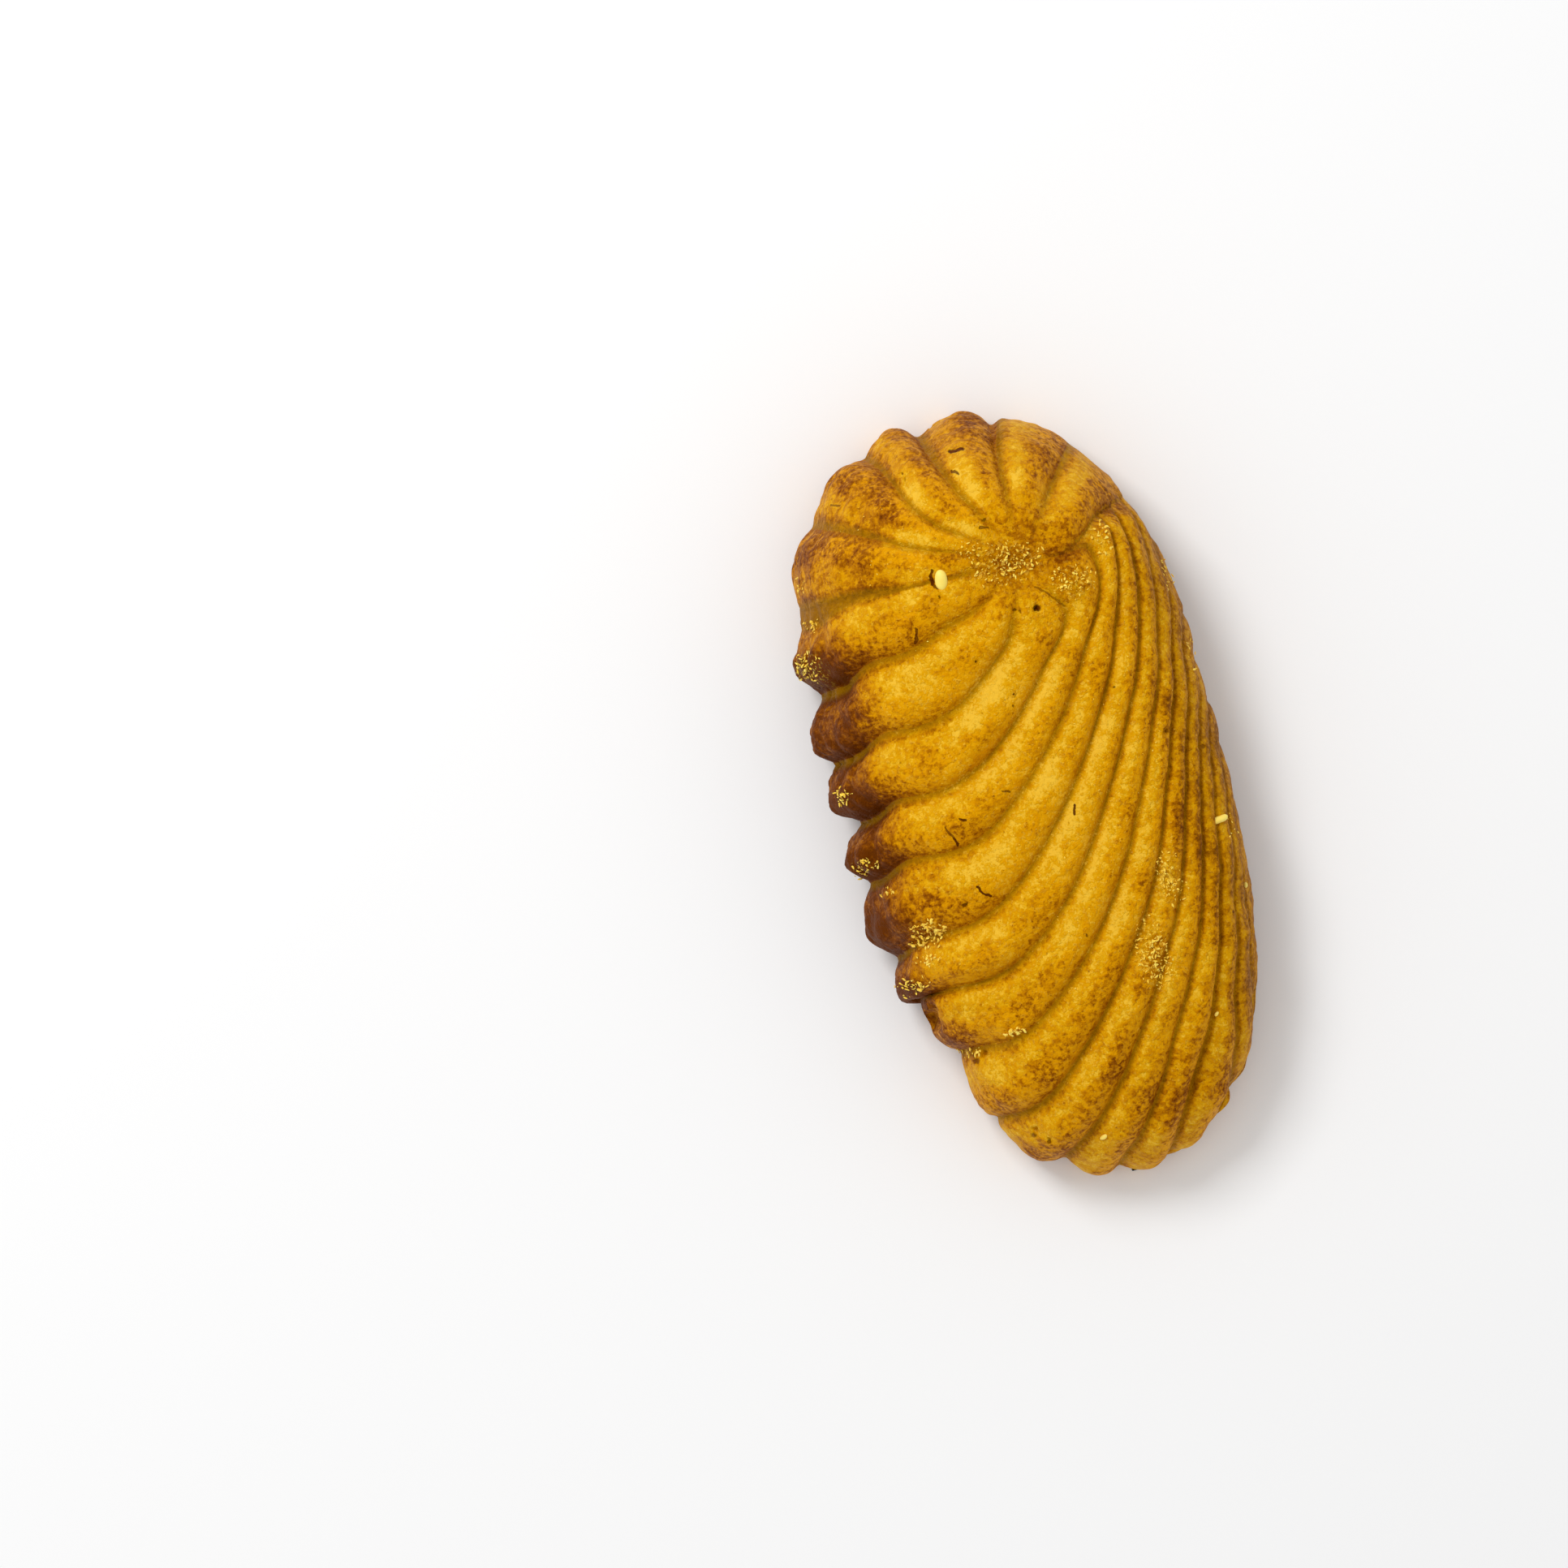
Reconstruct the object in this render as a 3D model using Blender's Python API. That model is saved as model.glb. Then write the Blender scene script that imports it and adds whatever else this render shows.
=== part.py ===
"""A piped sweet biscuit: one oval log of ridged dough with a rosette at one end, flat underneath.

+Y runs along the log to the rosette, +Z is up. Sizes are in millimetres and bearings in degrees,
and the mesh is placed in metres. A pair says where an effect starts and where it is full.
"""

import bpy
import bmesh
import numpy as np

MM = 0.001

# Plan of the log: the widest place lies nearer the rosette end, and the middle line leans.
WIDEST_Y = 9.0
ROSETTE_REACH = 30.3
TAIL_REACH = 47.2
HALF_WIDTH = 19.6
ROSETTE_FULLNESS = 2.75
TAIL_FULLNESS = 3.3
HEIGHT_FULLNESS = 1.2
MIDDLE_X = -0.18
MIDDLE_LEAN = -0.055

# The left side steps in below the lowest tip and comes back out at the tail.
STEP_IN = 1.9
STEP_Y = (-17.2, -20.0)
STEP_BACK_Y = (-26.0, -32.0)

# Section of the log: it is taller at the rosette, and its foot curves in to the flat base.
TOP_HEIGHT = 19.6
HEIGHT_RISE = 0.105
RISE_ENDS_Y = (-30.0, 24.0)
SIDE_HEIGHT = 5.6
SIDE_LEAST = 0.35
TOP_ROUNDNESS = 2.25
FOOT_ROUNDNESS = 3.0
FOOT_SINK = 1.16

# Slanting ridges of the log: valley lines climb in an arc from the left tips to the right flank.
PITCH = 6.865
ARC_VALLEY = 5.0
ARC_Y = -11.05
ARC_RISE = 14.51
ARC_POWER = 2.03
ARC_START = 2.32
ARC_RADIUS = 18.6
ARC_X = 1.49
FLANK_PULL = 0.017
FLANK_PULL_Y = 13.0
TAIL_PULL = 0.05
TAIL_PULL_Y = -5.0
TAIL_PULL_X = (9.0, 15.0)
TIP_DROOP = 1.6
TIP_DROOP_X = (-13.5, -19.0)
WANDER = 0.03
WANDER_LENGTH = 20.5

# How far single valleys stray from even spacing, from the rosette on, as shares of the pitch.
VALLEY_SHIFTS = (-0.04, -0.09, -0.08, 0.0, 0.0, 0.03, 0.05, 0.08, 0.03, 0.0, 0.0, 0.0)
VALLEY_SHIFTS_X = (11.0, 5.0)
LEFT_SHIFTS = (0.04, 0.06, 0.05, 0.15, 0.05, 0.14, 0.15, 0.12, 0.0, 0.0, 0.0, 0.0)
LEFT_SHIFTS_X = (-4.0, -12.0)

# Rosette: petals run out from one point, with valleys at these bearings from +X that swing
# clockwise by the second figures towards the rim and are as deep as the third, as shares of the
# usual depth. The log's ridges fan in to the same point, and its first valley is the last petal's.
ROSETTE_X = 3.5
ROSETTE_Y = 23.4
PETAL_VALLEYS = (-4.0, 55.5, 91.0, 121.0, 147.0, 163.0, 184.0)
PETAL_SWINGS = (-24.0, 0.0, 6.0, 5.0, 13.0, 4.0, 3.0)
PETAL_DEPTHS = (1.0, 1.0, 1.0, 1.0, 0.8, 0.5, 0.5)
FIRST_SWING_R = (3.0, 10.0)
SWING_R = (8.0, 18.0)
PETAL_WIDTH = 0.75
FAN_VALLEYS = (184.0, 218.0, 250.0, 300.0, 357.0, 400.0)
FAN_R = (5.0, 11.0)
FIRST_RIDGE = (0.0, 0.8)
CENTRE_R = (2.0, 8.5)
DIMPLE = 1.2
DIMPLE_R = (6.5, 0.0)

# The log's end lies tucked under the first petal, and the petals fade at the right of the rim.
TUCK_FROM = 300.0
TUCK_WIDTH = 2.6
TUCK_SHARE = 0.45
RIM_R = (9.5, 12.5)
RIM_BEARING = (90.0, 84.0)
RIM_FADE = 0.9
SHOULDER_X = (14.5, 17.5)
SHOULDER_Y = (16.0, 23.0)
SHOULDER_FADE = 0.85
EDGE_X = (15.5, 18.5)
EDGE_FADE = 0.5

# Valleys between ridges: how deep for how wide a ridge, and how steep either side is.
DEPTH_SHARE = 0.18
DEPTH_LEAST = 0.45
DEPTH_MOST = 1.6
CREST_AT = 0.60
GENTLE_SIDE = 0.88
STEEP_SIDE = 0.60
NARROW_WIDTH = (4.2, 2.2)
RIDGE_UNEVEN = 0.14
ALONG_UNEVEN = 0.12
ALONG_LENGTH = 19.0
SOFTENING = 0.07
SOFT_STEPS = 5

# Rounded tips at the left side and at the petals' ends, notched deeper between.
TIP_X = (-12.0, -18.0)
LOW_TIP_Y = (-18.5, -21.0)
LOW_TIP_FADE = 0.7
PETAL_TIP_R = (10.0, 15.0)
PETAL_TIP_BEARING = (80.0, 90.0)
PETAL_TIP_SHARE = 0.6
TIP_NOTCH = 0.50

# Below the widest level the valleys run straight down, and fade on the base this far inside the edge.
BASE_FADE = (0.20, 0.55)

# Fineness of the surface before and after it is thinned.
AROUND = 270
ALONG = 300
CROWDING = 0.30
POLE = 0.4999 * np.pi
NORMAL_STEP = 0.004
TRIANGLES = 11400


def ease(start, full, value):
    """0 at the start, 1 where it is full, smooth between."""
    t = np.clip((value - start) / (full - start), 0.0, 1.0)
    return t * t * (3.0 - 2.0 * t)


def wave(distance, length, start=0.0):
    return np.sin(2.0 * np.pi * distance / length + start)


def half_width(y):
    """Half width of the log at y, and the share of its full height there."""
    t = np.where(y > WIDEST_Y, (y - WIDEST_Y) / ROSETTE_REACH, (WIDEST_Y - y) / TAIL_REACH)
    t = np.clip(t, 0.0, 1.0)
    fullness = np.where(y > WIDEST_Y, ROSETTE_FULLNESS, TAIL_FULLNESS)
    return HALF_WIDTH * np.sqrt(1.0 - t**fullness), np.sqrt(1.0 - t ** (fullness + HEIGHT_FULLNESS))


def log_point(turn, climb):
    """Smooth log: turn goes right edge, top, left edge, base; climb goes from tail to rosette."""
    y = WIDEST_Y + 0.5 * (ROSETTE_REACH - TAIL_REACH) + 0.5 * (ROSETTE_REACH + TAIL_REACH) * np.sin(climb)
    wide, high = half_width(y)
    c, s = np.cos(turn), np.sin(turn)
    upper = s >= 0.0
    round_x = np.where(upper, 2.0 / TOP_ROUNDNESS, 2.0 / FOOT_ROUNDNESS)
    x = MIDDLE_X + MIDDLE_LEAN * y + wide * np.sign(c) * np.abs(c) ** round_x
    step = STEP_IN * ease(*STEP_Y, y) * (1.0 - ease(*STEP_BACK_Y, y))
    x = x + step * high * np.maximum(-c, 0.0)
    side = SIDE_HEIGHT * (SIDE_LEAST + (1.0 - SIDE_LEAST) * high)
    top = (TOP_HEIGHT + HEIGHT_RISE * np.clip(y, *RISE_ENDS_Y) - SIDE_HEIGHT) * high
    z = np.where(
        upper,
        side + top * np.abs(s) ** (2.0 / TOP_ROUNDNESS),
        side * (1.0 - FOOT_SINK * np.abs(s) ** (2.0 / FOOT_ROUNDNESS)),
    )
    return np.stack([x, y, np.maximum(z, 0.0)], axis=-1)


def log_normal(turn, climb):
    """Outward direction of the smooth log."""
    low = np.maximum(climb - NORMAL_STEP, -POLE)
    high = np.minimum(climb + NORMAL_STEP, POLE)
    along = log_point(turn, high) - log_point(turn, low)
    round_it = log_point(turn + NORMAL_STEP, climb) - log_point(turn - NORMAL_STEP, climb)
    n = np.cross(along, round_it)
    return n / np.maximum(np.linalg.norm(n, axis=-1, keepdims=True), 1e-9)


def plan_place(x, y):
    """Outward direction of the plan outline through a place, and how far out it is: 1 at the edge."""
    reach = np.where(y > WIDEST_Y, ROSETTE_REACH, -TAIL_REACH)
    fullness = np.where(y > WIDEST_Y, ROSETTE_FULLNESS, TAIL_FULLNESS)
    t = np.clip((y - WIDEST_Y) / reach, 0.0, 1.0)
    across = (x - MIDDLE_X - MIDDLE_LEAN * y) / HALF_WIDTH
    out = np.stack([2.0 * across / HALF_WIDTH, fullness * t ** (fullness - 1.0) / reach, 0.0 * x], axis=-1)
    return out / np.maximum(np.linalg.norm(out, axis=-1, keepdims=True), 1e-9), across**2 + t**fullness


def log_phase(x, y, turn):
    """Which valley of the log a place lies on, counted from the rosette, and the ridge width."""
    pulled = x + FLANK_PULL * np.maximum(y - FLANK_PULL_Y, 0.0) ** 2 * (x > 0.0)
    pulled = pulled - TAIL_PULL * np.maximum(TAIL_PULL_Y - y, 0.0) * ease(*TAIL_PULL_X, x)
    arc = np.arccos(np.clip((pulled - ARC_X) / ARC_RADIUS, -1.0, 1.0))
    wide, _ = half_width(y)
    edge = MIDDLE_X + MIDDLE_LEAN * y + wide
    edge_arc = np.arccos(np.clip((edge - ARC_X) / ARC_RADIUS, -1.0, 1.0))
    under_right = (np.sin(turn) < 0.0) & (np.cos(turn) > 0.0)
    arc = np.where(under_right, 2.0 * edge_arc - arc, arc)
    d = np.maximum(ARC_START - arc, 0.0)
    rise = ARC_RISE * d**ARC_POWER
    slope = ARC_RISE * ARC_POWER * d ** (ARC_POWER - 1.0) / ARC_RADIUS
    droop = TIP_DROOP * ease(*TIP_DROOP_X, x)
    phase = ARC_VALLEY + (ARC_Y + rise - droop - y) / PITCH
    index = np.arange(1.0, 1.0 + len(VALLEY_SHIFTS))
    stray = ease(*VALLEY_SHIFTS_X, x) * np.interp(phase, index, VALLEY_SHIFTS)
    stray = stray + ease(*LEFT_SHIFTS_X, x) * np.interp(phase, index, LEFT_SHIFTS)
    stray = stray + WANDER * (wave(y, WANDER_LENGTH, 1.7) + wave(0.8 * x - 0.6 * y, WANDER_LENGTH))
    return phase + stray, PITCH / np.sqrt(1.0 + slope**2)


def valley(phase, narrow, knobbly):
    """1 in the valley, 0 on the crest; narrow valleys on the flank, open ones between tips."""
    gentle = GENTLE_SIDE - 0.25 * narrow + 0.25 * knobbly
    steep = STEEP_SIDE - 0.12 * narrow + 0.30 * knobbly
    total = 0.0
    for shift in np.linspace(-SOFTENING, SOFTENING, SOFT_STEPS):
        f = (phase + shift) % 1.0
        rise = np.sin(0.5 * np.pi * np.clip(f / CREST_AT, 0.0, 1.0))
        fall = np.sin(0.5 * np.pi * np.clip((1.0 - f) / (1.0 - CREST_AT), 0.0, 1.0))
        total = total + 1.0 - np.where(f < CREST_AT, rise**gentle, fall**steep)
    return total / SOFT_STEPS


def depth_for(width):
    return np.minimum(DEPTH_SHARE * width + DEPTH_LEAST, DEPTH_MOST)


def rosette_place(x, y):
    """Distance from the rosette's point, bearing, and the bearings of the petal valleys there."""
    dx, dy = x - ROSETTE_X, y - ROSETTE_Y
    r = np.hypot(dx, dy)
    swings = [ease(*FIRST_SWING_R, r)] + [ease(*SWING_R, r)] * (len(PETAL_VALLEYS) - 1)
    valleys = [at - by * swing for at, by, swing in zip(PETAL_VALLEYS, PETAL_SWINGS, swings)]
    bearing = np.degrees(np.arctan2(dy, dx))
    bearing = np.where(bearing < valleys[0], bearing + 360.0, bearing)
    return r, bearing, np.stack(valleys, axis=-1)


def pick(values, index):
    """The value at each place's own index."""
    return np.take_along_axis(values, index, axis=-1)[..., 0]


def petal_relief(r, bearing, valleys, knobbly):
    """Depth of the petals, and which places lie on one."""
    count = np.sum(bearing[..., None] > valleys, axis=-1) - 1
    inside = count < len(PETAL_VALLEYS) - 1
    count = np.clip(count, 0, len(PETAL_VALLEYS) - 2)[..., None]
    low, high = pick(valleys, count), pick(valleys, count + 1)
    across = np.clip((high - bearing) / (high - low), 0.0, 1.0)
    spans = np.diff(valleys, axis=-1)
    fan_span = np.full_like(spans[..., :1], FAN_VALLEYS[1] - FAN_VALLEYS[0])
    spans = np.concatenate([spans[..., :1], spans, fan_span], axis=-1)
    span = 0.5 * (spans[..., 1:] + spans[..., :-1])
    span = pick(span, count) * across + pick(span, count + 1) * (1.0 - across)
    strength = np.interp(count[..., 0] + 1.0 - across, np.arange(len(PETAL_DEPTHS)), PETAL_DEPTHS)
    width = PETAL_WIDTH * r * np.radians(span)
    rim = ease(*RIM_R, r) * ease(*RIM_BEARING, bearing)
    return depth_for(width) * strength * valley(across, 0.0, knobbly) * (1.0 - RIM_FADE * rim), inside


def log_relief(x, y, turn, r, bearing, tips):
    """Depth of the log's slanting ridges."""
    phase, width = log_phase(x, y, turn)
    fan = np.interp(bearing, FAN_VALLEYS, np.arange(len(FAN_VALLEYS)))
    phase = np.maximum(fan + (phase - fan) * ease(*FAN_R, r), 0.0)
    uneven = 1.0 + RIDGE_UNEVEN * np.sin(2.4 * phase + 0.7) + ALONG_UNEVEN * wave(x, ALONG_LENGTH, 0.9 * phase)
    uneven = uneven * (PETAL_DEPTHS[-1] + (1.0 - PETAL_DEPTHS[-1]) * ease(*FIRST_RIDGE, phase))
    depth = depth_for(width) * uneven * valley(phase, ease(*NARROW_WIDTH, width), tips)
    shoulder = ease(*SHOULDER_X, x) * ease(*SHOULDER_Y, y)
    return depth * (1.0 - SHOULDER_FADE * shoulder) * (1.0 - EDGE_FADE * ease(*EDGE_X, x))


def tuck_relief(r, bearing, first):
    """Depth of the crease where the log's end goes under the first petal."""
    beside = r * np.sin(np.radians(np.clip(first + 360.0 - bearing, 0.0, 90.0)))
    depth = depth_for(TUCK_SHARE * r) * (1.0 - ease(0.0, TUCK_WIDTH, beside)) * (bearing > TUCK_FROM)
    return depth * (1.0 - SHOULDER_FADE * ease(*RIM_R, r))


def relief(x, y, turn):
    """How far the surface lies below the smooth log."""
    r, bearing, valleys = rosette_place(x, y)
    tips = ease(*TIP_X, x) * (1.0 - LOW_TIP_FADE * ease(*LOW_TIP_Y, y))
    petal_tips = ease(*PETAL_TIP_R, r) * ease(*PETAL_TIP_BEARING, bearing)
    petals, inside = petal_relief(r, bearing, valleys, np.maximum(tips, petal_tips))
    ridges = log_relief(x, y, turn, r, bearing, tips)
    ridges = np.maximum(ridges, tuck_relief(r, bearing, valleys[..., 0]))
    depth = np.where(inside, petals, ridges)
    knobs = np.maximum(tips, PETAL_TIP_SHARE * petal_tips * inside)
    depth = depth * (1.0 + TIP_NOTCH * knobs * np.minimum(depth / DEPTH_MOST, 1.0))
    return depth * ease(*CENTRE_R, r) + DIMPLE * ease(*DIMPLE_R, r)


def biscuit_points(turn, climb):
    """The biscuit's surface in millimetres."""
    p = log_point(turn, climb)
    n = log_normal(turn, climb)
    outwards, far_out = plan_place(p[..., 0], p[..., 1])
    low = n[..., 2] < 0.0
    inwards = relief(p[..., 0], p[..., 1], turn) * np.where(low, ease(*BASE_FADE, far_out), 1.0)
    p = p - np.where(low[..., None], outwards, n) * inwards[..., None]
    p[..., 2] = np.maximum(p[..., 2], 0.0)
    return p


def biscuit_mesh():
    """A fine ball of points moved onto the biscuit's surface, with the middle of its plan at 0, 0."""
    bm = bmesh.new()
    bmesh.ops.create_uvsphere(bm, u_segments=AROUND, v_segments=ALONG, radius=1.0)
    unit = np.array([v.co[:] for v in bm.verts])
    lap = np.arctan2(unit[:, 1], unit[:, 0])
    climb = np.clip(np.arcsin(np.clip(unit[:, 2], -1.0, 1.0)), -POLE, POLE)
    points = biscuit_points(lap + CROWDING * np.cos(lap), climb)
    middle = 0.5 * (points.min(axis=0) + points.max(axis=0))
    middle[2] = 0.0
    for vert, place in zip(bm.verts, (points - middle) * MM):
        vert.co = place
    bmesh.ops.triangulate(bm, faces=bm.faces[:])
    bmesh.ops.recalc_face_normals(bm, faces=bm.faces[:])
    mesh = bpy.data.meshes.new("biscuit")
    bm.to_mesh(mesh)
    bm.free()
    return mesh


def baked_dough():
    dough = bpy.data.materials.new("baked_dough")
    dough.use_nodes = True
    shader = dough.node_tree.nodes["Principled BSDF"]
    shader.inputs["Base Color"].default_value = (0.46, 0.20, 0.012, 1.0)
    shader.inputs["Roughness"].default_value = 0.72
    shader.inputs["Metallic"].default_value = 0.0
    return dough


for stale in list(bpy.data.objects):
    bpy.data.objects.remove(stale, do_unlink=True)

collection = bpy.data.collections.new("piped_biscuit")
bpy.context.scene.collection.children.link(collection)

biscuit = bpy.data.objects.new("biscuit", biscuit_mesh())
collection.objects.link(biscuit)
biscuit.data.materials.append(baked_dough())

soften = biscuit.modifiers.new("soften", "SMOOTH")
soften.factor = 0.5
soften.iterations = 4
thin = biscuit.modifiers.new("thin", "DECIMATE")
thin.ratio = TRIANGLES / len(biscuit.data.polygons)
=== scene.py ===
"""The finished picture model of the piped sweet biscuit: ridges, baked colours, cracks and crumbs.

Shape values are in millimetres as traced from the photograph, with the rosette towards +Y, and
place() turns them into metres of the frame. A pair says where an effect starts and where it is full.
"""

import math

import bmesh
import bpy
import numpy as np
from mathutils import Matrix, Vector


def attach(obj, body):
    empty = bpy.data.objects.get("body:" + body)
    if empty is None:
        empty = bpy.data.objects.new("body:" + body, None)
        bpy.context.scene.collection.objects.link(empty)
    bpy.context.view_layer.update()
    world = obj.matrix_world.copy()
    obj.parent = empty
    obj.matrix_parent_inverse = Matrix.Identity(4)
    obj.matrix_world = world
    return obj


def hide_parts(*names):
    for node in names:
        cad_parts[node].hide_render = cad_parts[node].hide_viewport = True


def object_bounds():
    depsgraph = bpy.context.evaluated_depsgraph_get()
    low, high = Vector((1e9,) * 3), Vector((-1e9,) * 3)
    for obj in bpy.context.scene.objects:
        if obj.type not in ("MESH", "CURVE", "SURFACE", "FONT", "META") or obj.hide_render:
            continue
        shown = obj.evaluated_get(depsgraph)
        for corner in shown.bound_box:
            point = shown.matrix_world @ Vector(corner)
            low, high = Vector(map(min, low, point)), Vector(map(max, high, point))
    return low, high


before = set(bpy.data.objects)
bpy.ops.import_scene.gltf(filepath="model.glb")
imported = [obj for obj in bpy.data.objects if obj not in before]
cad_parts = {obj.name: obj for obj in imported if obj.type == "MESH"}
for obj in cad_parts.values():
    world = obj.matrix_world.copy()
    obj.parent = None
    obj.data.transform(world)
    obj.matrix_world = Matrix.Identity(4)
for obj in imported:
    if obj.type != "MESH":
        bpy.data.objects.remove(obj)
cad_low, cad_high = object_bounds()

MM = 0.001

# Plan of the log: the widest place lies nearer the rosette end, and the middle line leans.
WIDEST_Y = 9.0
ROSETTE_REACH = 30.3
TAIL_REACH = 47.2
HALF_WIDTH = 19.6
ROSETTE_FULLNESS = 2.75
TAIL_FULLNESS = 3.3
HEIGHT_FULLNESS = 1.2
MIDDLE_X = -0.18
MIDDLE_LEAN = -0.055

# The left side steps in below the lowest tip and comes back out at the tail.
STEP_IN = 1.9
STEP_Y = (-17.2, -20.0)
STEP_BACK_Y = (-26.0, -32.0)

# Section of the log: it is taller at the rosette, and its foot curves in to the flat base.
TOP_HEIGHT = 19.6
HEIGHT_RISE = 0.105
RISE_ENDS_Y = (-30.0, 24.0)
SIDE_HEIGHT = 5.6
SIDE_LEAST = 0.35
TOP_ROUNDNESS = 2.25
FOOT_ROUNDNESS = 3.0
FOOT_SINK = 1.16

# Slanting ridges of the log: valley lines climb in an arc from the left tips to the right flank.
PITCH = 6.865
ARC_VALLEY = 5.0
ARC_Y = -11.05
ARC_RISE = 14.51
ARC_POWER = 2.03
ARC_START = 2.32
ARC_RADIUS = 18.6
ARC_X = 1.49
FLANK_PULL = 0.017
FLANK_PULL_Y = 13.0
TAIL_PULL = 0.05
TAIL_PULL_Y = -5.0
TAIL_PULL_X = (9.0, 15.0)
TIP_DROOP = 1.6
TIP_DROOP_X = (-13.5, -19.0)
WANDER = 0.03
WANDER_LENGTH = 20.5
WANDER_START = 1.7
WANDER_WAY = (0.8, -0.6)

# How far single valleys stray from even spacing, from the rosette on, as shares of the pitch.
VALLEY_SHIFTS = (-0.04, -0.09, -0.08, 0.0, 0.0, 0.03, 0.05, 0.08, 0.03, 0.0, 0.0, 0.0)
VALLEY_SHIFTS_X = (11.0, 5.0)
LEFT_SHIFTS = (0.04, 0.06, 0.05, 0.15, 0.05, 0.14, 0.15, 0.12, 0.0, 0.0, 0.0, 0.0)
LEFT_SHIFTS_X = (-4.0, -12.0)

# Rosette: petals run out from one point, with valleys at these bearings from +X that swing
# clockwise by the second figures towards the rim and are as deep as the third, as shares of the
# usual depth. The log's ridges fan in to the same point, and its first valley is the last petal's.
ROSETTE_X = 3.5
ROSETTE_Y = 23.4
PETAL_VALLEYS = (-4.0, 55.5, 91.0, 121.0, 147.0, 163.0, 184.0)
PETAL_SWINGS = (-24.0, 0.0, 6.0, 5.0, 13.0, 4.0, 3.0)
PETAL_DEPTHS = (1.0, 1.0, 1.0, 1.0, 0.8, 0.5, 0.5)
FIRST_SWING_R = (3.0, 10.0)
SWING_R = (8.0, 18.0)
PETAL_WIDTH = 0.75
FAN_VALLEYS = (184.0, 218.0, 250.0, 300.0, 357.0, 400.0)
FAN_R = (5.0, 11.0)
FAN_WIDTH = 0.7
FIRST_RIDGE = (0.0, 0.8)
CENTRE_R = (2.0, 8.5)
DIMPLE = 1.2
DIMPLE_R = (6.5, 0.0)

# The log's end lies tucked under the first petal, and the petals fade at the right of the rim.
TUCK_FROM = 300.0
TUCK_WIDTH = 2.6
TUCK_SHARE = 0.45
RIM_R = (9.5, 12.5)
RIM_BEARING = (90.0, 84.0)
RIM_FADE = 0.9
RIM_LINE_FADE = 0.8
SHOULDER_X = (14.5, 17.5)
SHOULDER_Y = (16.0, 23.0)
SHOULDER_FADE = 0.85
EDGE_X = (15.5, 18.5)
EDGE_FADE = 0.5

# Valleys between ridges: how deep for how wide a ridge, and how steep either side is.
DEPTH_SHARE = 0.18
DEPTH_LEAST = 0.45
DEPTH_MOST = 1.6
CREST_AT = 0.60
GENTLE_SIDE = 0.88
STEEP_SIDE = 0.60
NARROW_WIDTH = (4.2, 2.2)
NARROW_GENTLE = 0.25
NARROW_STEEP = 0.12
TIP_GENTLE = 0.25
TIP_STEEP = 0.30
RIDGE_UNEVEN = 0.14
RIDGE_BEAT = 2.4
RIDGE_START = 0.7
ALONG_UNEVEN = 0.12
ALONG_LENGTH = 19.0
ALONG_SLIP = 0.9
SOFTENING = 0.05
SOFT_STEPS = 5

# Rounded tips at the left side and at the petals' ends, notched deeper between.
TIP_X = (-12.0, -18.0)
LOW_TIP_Y = (-18.5, -21.0)
LOW_TIP_FADE = 0.7
PETAL_TIP_R = (10.0, 15.0)
PETAL_TIP_BEARING = (80.0, 90.0)
PETAL_TIP_SHARE = 0.6
TIP_NOTCH = 0.50

# Below the widest level the valleys run straight down, and fade on the base this far inside the edge.
BASE_FADE = (0.20, 0.55)

# Faces round and along the log, closer together on top than on the base, and the step for its slope.
AROUND = 340
ALONG = 290
CROWDING = 0.30
POLE = 0.4999 * np.pi
NORMAL_STEP = 0.004

# Lumps of the dough, smooth noise: height, size, seed and how many waves.
LUMPS = ((0.16, 9.0, 11, 14), (0.07, 3.2, 12, 20), (0.04, 1.5, 13, 24))
WAVE_SPREAD = (0.7, 1.6)
WAVE_HEIGHT = 0.9
SKIN_INWARDS = 0.2

# Crags torn into the tips, drawn out across the log, and faint wrinkles everywhere.
CRAGS = ((1.0, 4.5, 21, 7), (0.5, 2.2, 22, 9))
CRAG_STRETCH = (0.55, 1.0, 1.0)
CRAG_MIDDLE = 0.75
CRAG_HEIGHT = 0.38
WRINKLE_HEIGHT = 0.06

# The tips beside the rosette baked this much paler than the log's.
ROSETTE_PALER = 0.6
ROSETTE_PALER_Y = (17.0, 22.0)
PETAL_TIP_BROWN = 0.3

# Where the crust counts as seen from above, as underside and as right flank.
UPPER_Z = 0.05
UNDER_Z = (-0.55, -0.85)
FLANK_X = (11.0, 19.0)

# Fine streaks: which way they run on the log, and how close they lie along, across and upwards.
STREAK_WAY = (0.9, 0.45)
STREAK_CLOSENESS = (0.35, 6.0, 0.05)

# Small pits in the crust: x, y, radius, depth.
PITS = (
    (4.0, 18.3, 0.42, 0.9), (1.8, 18.6, 0.22, 0.5), (2.3, 18.3, 0.14, 0.4), (0.7, 27.9, 0.20, 0.5),
    (-9.0, -8.7, 0.26, 0.7), (14.0, 3.9, 0.28, 0.4), (17.3, 1.7, 0.26, 0.4), (-11.0, -24.0, 0.36, 0.6),
    (2.1, -14.0, 0.12, 0.5), (16.8, -14.8, 0.15, 0.4), (-3.0, 14.4, 0.13, 0.6), (9.8, 9.2, 0.14, 0.5),
    (-6.2, 34.0, 0.14, 0.5), (-0.3, 9.5, 0.16, 0.5), (0.0, 10.6, 0.13, 0.5), (-14.7, -19.4, 1.00, 1.0),
    (-7.0, -32.3, 0.36, 0.5), (-5.6, -33.2, 0.20, 0.4), (-19.3, 13.2, 0.50, 0.6), (-5.2, 21.3, 0.12, 0.5),
)
PIT_RAGGED = 0.25
PIT_CORNERS = 3.0
PIT_WALL = (0.35, 1.15)

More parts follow.
